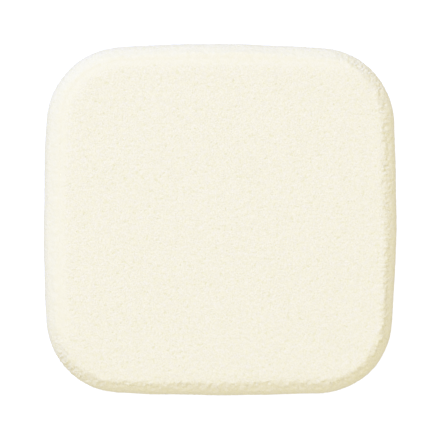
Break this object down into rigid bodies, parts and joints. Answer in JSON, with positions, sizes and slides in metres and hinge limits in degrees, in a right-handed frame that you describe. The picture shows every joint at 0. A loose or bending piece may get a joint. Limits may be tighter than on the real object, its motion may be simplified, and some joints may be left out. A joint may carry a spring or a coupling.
{
  "type": "makeup sponge",
  "caption": "Soft square makeup sponge with rounded corners, gently bowed sides and a bevelled rim, for pressing and blending foundation by hand.",
  "frame": {"origin": "centre of the lower face, which the sponge lies on", "axes": "+Z through the thickness towards the upper face, +X and +Y square to the sides"},
  "size_m": [0.055, 0.055, 0.008],
  "materials": {
    "buffed_foam": "matte, finely pebbled with open pores",
    "cut_foam": "matte, fine open cells where the rim is ground"
  },
  "bodies": {
    "pad": {"lower_face": "buffed_foam", "foam_core": "cut_foam"},
    "pressed_face": {"upper_face": "buffed_foam"}
  },
  "joints": [
    {"name": "face_press", "type": "slide", "parent": "pad", "child": "pressed_face", "axis": [0, 0, -1], "range_m": [0, 0.003], "stiffness_N_per_m": 5000, "deforming": ["foam_core"]}
  ]
}
